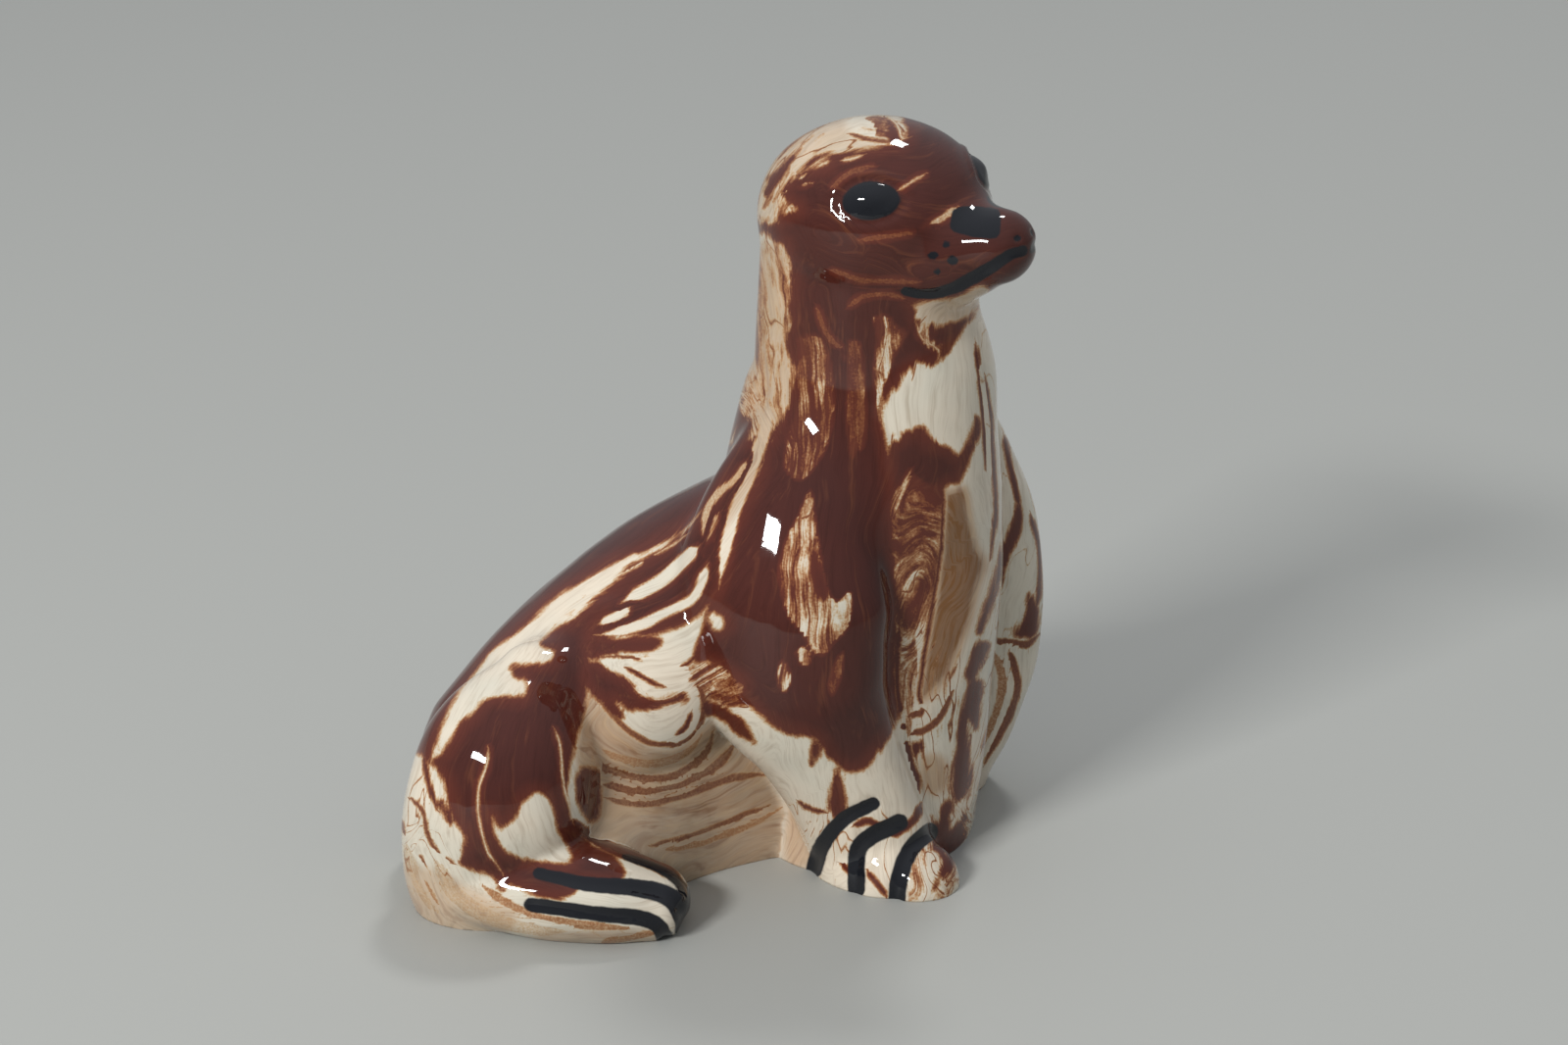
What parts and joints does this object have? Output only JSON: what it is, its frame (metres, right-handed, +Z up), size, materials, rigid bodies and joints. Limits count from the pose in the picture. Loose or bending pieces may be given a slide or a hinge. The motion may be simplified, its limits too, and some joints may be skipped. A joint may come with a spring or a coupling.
{
  "type": "seal figurine",
  "caption": "Glazed pottery seal sitting upright on a flat base with its head turned, in marbled red-brown and cream clay.",
  "frame": {"origin": "middle of the footprint's box, on the surface that the base rests on", "axes": "+X is the way the front feet point, +Y is the seal's left, +Z is up"},
  "size_m": [0.1478, 0.1374, 0.183],
  "materials": {
    "glazed_marbled_clay": "glossy clear glaze over marbled red-brown and cream slip, bare clay under the base"
  },
  "bodies": {
    "root": {"seal_figurine": "glazed_marbled_clay"}
  },
  "joints": []
}
